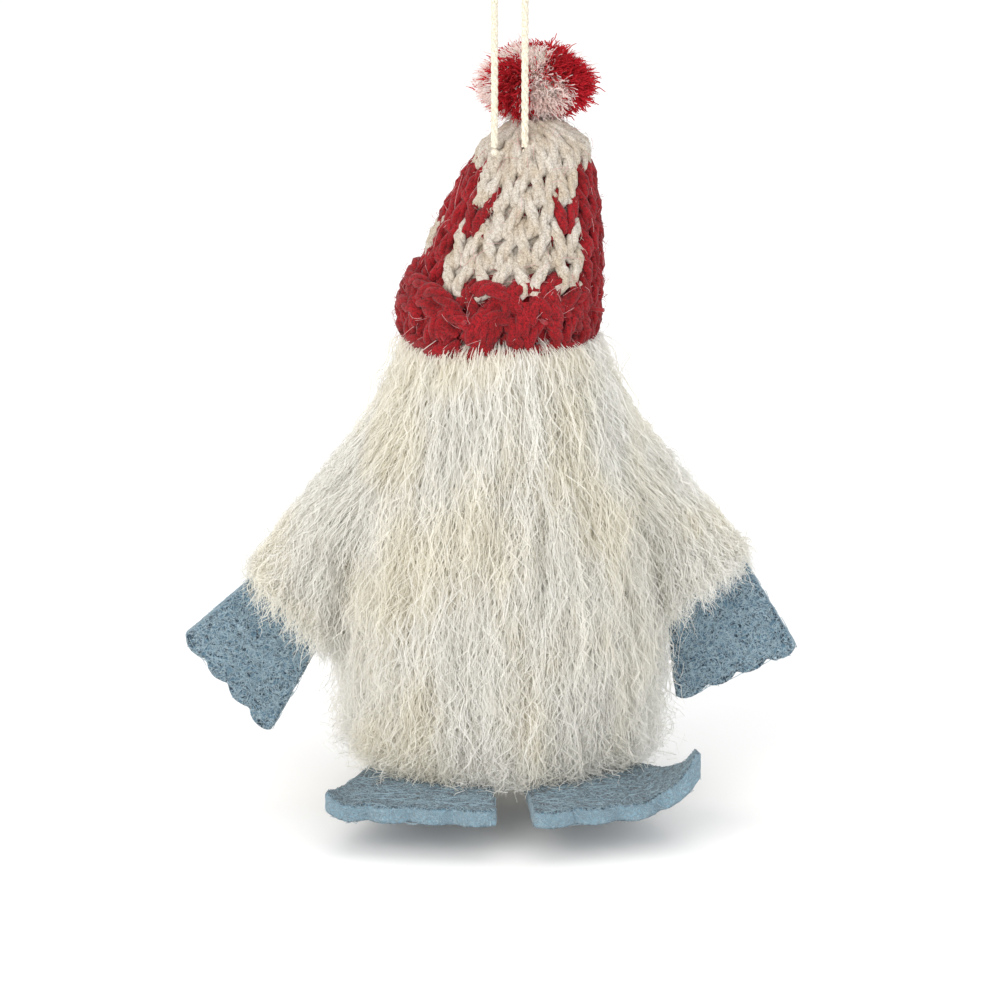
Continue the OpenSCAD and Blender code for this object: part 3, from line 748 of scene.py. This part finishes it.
# Loose fibres: the pieces they grow on, how many, their length, lift, curl, how far off they may end, points
loose_fibres = (
    ("hat_pale_fibres", pale_hair, "cream_yarn", [rim, hat_red, hat_cream], 1500, 4.5, 0.6, 1.3, 0.9, 10),
    ("hat_red_fibres", red_hair, "red_yarn", [rim, hat_red], 3600, 2.2, 0.7, 1.0, 0.6, 7),
    ("hat_cream_fibres", cream_yarn, "cream_yarn", [hat_cream], 2200, 2.0, 0.6, 1.0, 0.6, 7),
)
for name, finish, slot, pieces, count, length, lift, curl, off, points in loose_fibres:
    paths = surface_hairs(random, pieces, count, length * MM, lift * MM, curl, off * MM, points)
    dress(strands(name, paths, hair_width), finish, "gnome")


# ---- Pom-pom ----
# Red and cream yarn wound together, tied in the middle and cut: every cut end opens into a brush of
# fibres, and the ends lie in patches of one colour.
pom_low, pom_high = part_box("pompom_yarn")
pom_middle = (pom_low + pom_high) / 2
pom_half = (pom_high - pom_low) / 2
tuft_count = 170
fibres_per_tuft = 100
tuft_points = 6
tuft_root = 0.62
tuft_splay = 0.85 * MM
tuft_crimp = 0.28 * MM
pom_drop = 1.5 * MM
core_share = 0.78
# Each patch of one colour: its direction from the middle as seen from the front, right, back and up
pompom_patches = (
    ("R", (-0.50, -0.60, 0.50)), ("R", (-0.55, -0.80, -0.10)), ("R", (-0.40, -0.60, -0.50)),
    ("C", (0.00, -0.60, 0.75)), ("R", (0.42, -0.75, 0.45)), ("C", (0.12, -0.95, 0.00)),
    ("C", (0.25, -0.60, -0.70)), ("R", (0.85, -0.40, 0.25)), ("R", (0.80, -0.45, -0.45)),
    ("C", (0.50, -0.80, 0.10)), ("C", (-0.95, -0.25, 0.00)), ("C", (-0.50, -0.30, -0.85)),
    ("R", (-0.60, 0.60, 0.45)), ("C", (-0.50, 0.80, -0.20)), ("R", (0.10, 0.90, 0.35)),
    ("C", (0.60, 0.60, 0.50)), ("R", (0.45, 0.75, -0.45)), ("C", (-0.10, 0.60, -0.80)),
    ("C", (-0.70, 0.10, 0.75)), ("R", (0.50, 0.10, 0.85)), ("R", (-0.90, 0.40, -0.10)),
)

patch_ways = [(colour, Vector(way).normalized()) for colour, way in pompom_patches]


def patch_colour(way):
    loose_way = way + 0.16 * noise.noise_vector(way * 4)
    return max(patch_ways, key=lambda patch: patch[1].dot(loose_way))[0]


def pompom_tufts(rng):
    """Fibre paths of every tuft, sorted by colour."""
    result = {"R": [], "C": []}
    golden = math.pi * (3 - math.sqrt(5))
    for i in range(tuft_count):
        height = 1 - 2 * (i + 0.5) / tuft_count
        ring = math.sqrt(1 - height * height)
        way = Vector((ring * math.cos(golden * i), ring * math.sin(golden * i), height))
        colour = patch_colour(way)
        bulge = rng.uniform(0.93, 1.05) + 0.12 * noise.noise(way * 2.3) - 0.2 * max(0, -way.z)
        tip = Vector((way.x * pom_half.x, way.y * pom_half.y, way.z * pom_half.z - pom_drop)) * bulge
        for _ in range(fibres_per_tuft):
            scatter = Vector(rng.normal(0, 1, 3))
            s = np.linspace(tuft_root, 1, tuft_points)[:, None]
            splay = np.array(scatter - scatter.dot(way) * way) * tuft_splay
            curls = np.cumsum(rng.normal(0, tuft_crimp, (tuft_points, 3)), axis=0)
            length = rng.uniform(0.86, 1.0)
            result[colour].append(np.array(pom_middle) + np.array(tip) * s * length + splay * s + curls)
    return result


tufts = pompom_tufts(random)
core = softened("pompom_yarn", "pompom_core", 0.6 * MM, 2, 0.1 * MM)
for vertex in core.data.vertices:
    vertex.co = pom_middle + (vertex.co - pom_middle) * core_share
dress(core, red_yarn, "pompom")
core.data.materials.append(cream_yarn)
for face in core.data.polygons:
    away = face.center - pom_middle
    way = Vector((away.x / pom_half.x, away.y / pom_half.y, away.z / pom_half.z)).normalized()
    face.material_index = 1 if patch_colour(way) == "C" else 0
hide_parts("pompom_yarn")
pom_taper = (0.9, 1.0, 1.0, 1.0, 0.9, 0.6)
pom_fibre_width = 0.22 * MM
brushed_red = hand_spun_yarn("brushed_red_yarn", "#d62a38", "#b81c2a", "#f0dcdc", 0.55)
brushed_cream = hand_spun_yarn("brushed_cream_yarn", "#fbf6f3", "#f2e6e1", "#fdf2f0", 0.55)
for name, paths, finish, slot in (("pompom_red_ends", tufts["R"], brushed_red, "red_yarn"),
                                  ("pompom_cream_ends", tufts["C"], brushed_cream, "cream_yarn")):
    turns = random.uniform(0, math.pi, len(paths))
    dress(strands(name, paths, pom_fibre_width, pom_taper, turns=turns), finish, "pompom")


# ---- Inside and underneath ----
# The base disc is lining cloth, sewn round its edge. Thread stitches hold the felt and the hat, and
# polyester fibre fills the body, the sleeves and the hat.
def lining_cloth(name, light, shade):
    """Plain woven cotton lining, drawn at half the real thread count so that the weave shows."""
    material = new_material(name)
    where = mapped(material, 0.5 * MM, 0.5 * MM)
    warp = add(material, "TexWave", {"bands_direction": "X"}, Vector=where, Scale=0.5, Distortion=0.6)
    weft = add(material, "TexWave", {"bands_direction": "Y"}, Vector=where, Scale=0.5, Distortion=0.6)
    weave = add(material, "Math", {"operation": "MULTIPLY"}, _0=warp.outputs[1], _1=weft.outputs[1])
    colour = add(material, "ValToRGB", {"stops": [(0.0, shade), (0.5, light)]}, Fac=weave.outputs[0])
    return finish_surface(material, colour.outputs[0], weave.outputs[0], 0.08 * MM, 0.85)


lining = lining_cloth("woven_cotton_lining", "#e2dccb", "#b7ae98")
disc = softened("base_disc", "base_cloth", 0.5 * MM, 3, 0.1 * MM)
dress(disc, lining, "gnome")
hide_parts("base_disc")
thread = spun_cotton("sewing_thread", "#b9bfc0", "#8b9394")
red_thread = spun_cotton("red_sewing_thread", "#a01822", "#6c0e16")
filling = spun_cotton("polyester_filling", "#f4f4f0", "#dcdcd6")
for node, part in frame["nodes"].items():
    if part.hide_render:
        continue
    if "stuffing" in node:
        finish = filling
    elif node == "hat_stitches":
        finish = red_thread
    elif "stitches" in node:
        finish = thread
    elif node == "pompom_tie":
        finish = cream_yarn
    else:
        finish = cotton
    part.data.materials.clear()
    part.data.materials.append(finish)


# ---- Studio ----
# A plain pale floor a little below the hanging gnome, large soft lamps and an even white surround.
floor_drop = 6 * MM
floor_size = 6.0
shape = bmesh.new()
bmesh.ops.create_grid(shape, x_segments=1, y_segments=1, size=floor_size / 2)
bmesh.ops.translate(shape, verts=shape.verts, vec=(0, 0, soles - floor_drop))
floor_mesh = bpy.data.meshes.new("floor")
shape.to_mesh(floor_mesh)
shape.free()
floor = bpy.data.objects.new("floor", floor_mesh)
scene.collection.objects.link(floor)
paper = new_material("white_paper")
grain = add(paper, "TexNoise", Vector=mapped(paper, 40 * MM, 40 * MM), Scale=1.0)
tone = add(paper, "ValToRGB", {"stops": [(0.0, "#f4f4f4"), (1.0, "#fafafa")]}, Fac=grain.outputs[0])
finish_surface(paper, tone.outputs[0], grain.outputs[0], 0.01 * MM, 0.9)
floor_mesh.materials.append(paper)

# Each lamp: its name, its place from the camera's aim in metres, its size in metres, its power and colour
lamps = (
    ("key", (-0.5, -0.8, 0.4), 0.8, 6.6, "#fffaf4"),
    ("fill", (0.7, -0.7, 0.25), 0.9, 2.8, "#f6f9ff"),
    ("top", (0.0, 0.15, 0.9), 0.9, 1.6, "#ffffff"),
)
for name, place, size, power, colour in lamps:
    lamp_data = bpy.data.lights.new(name, "AREA")
    lamp_data.size = size
    lamp_data.energy = power
    lamp_data.color = linear(colour)[:3]
    lamp = bpy.data.objects.new(name, lamp_data)
    lamp.location = camera_aim + Vector(place)
    lamp.rotation_euler = (camera_aim - lamp.location).to_track_quat("-Z", "Y").to_euler()
    scene.collection.objects.link(lamp)
world = bpy.data.worlds.new("surround")
world.use_nodes = True
surround = world.node_tree.nodes["Background"]
surround.inputs["Color"].default_value = linear("#ffffff")
surround.inputs["Strength"].default_value = 0.95
scene.world = world
scene.view_settings.view_transform = "Standard"
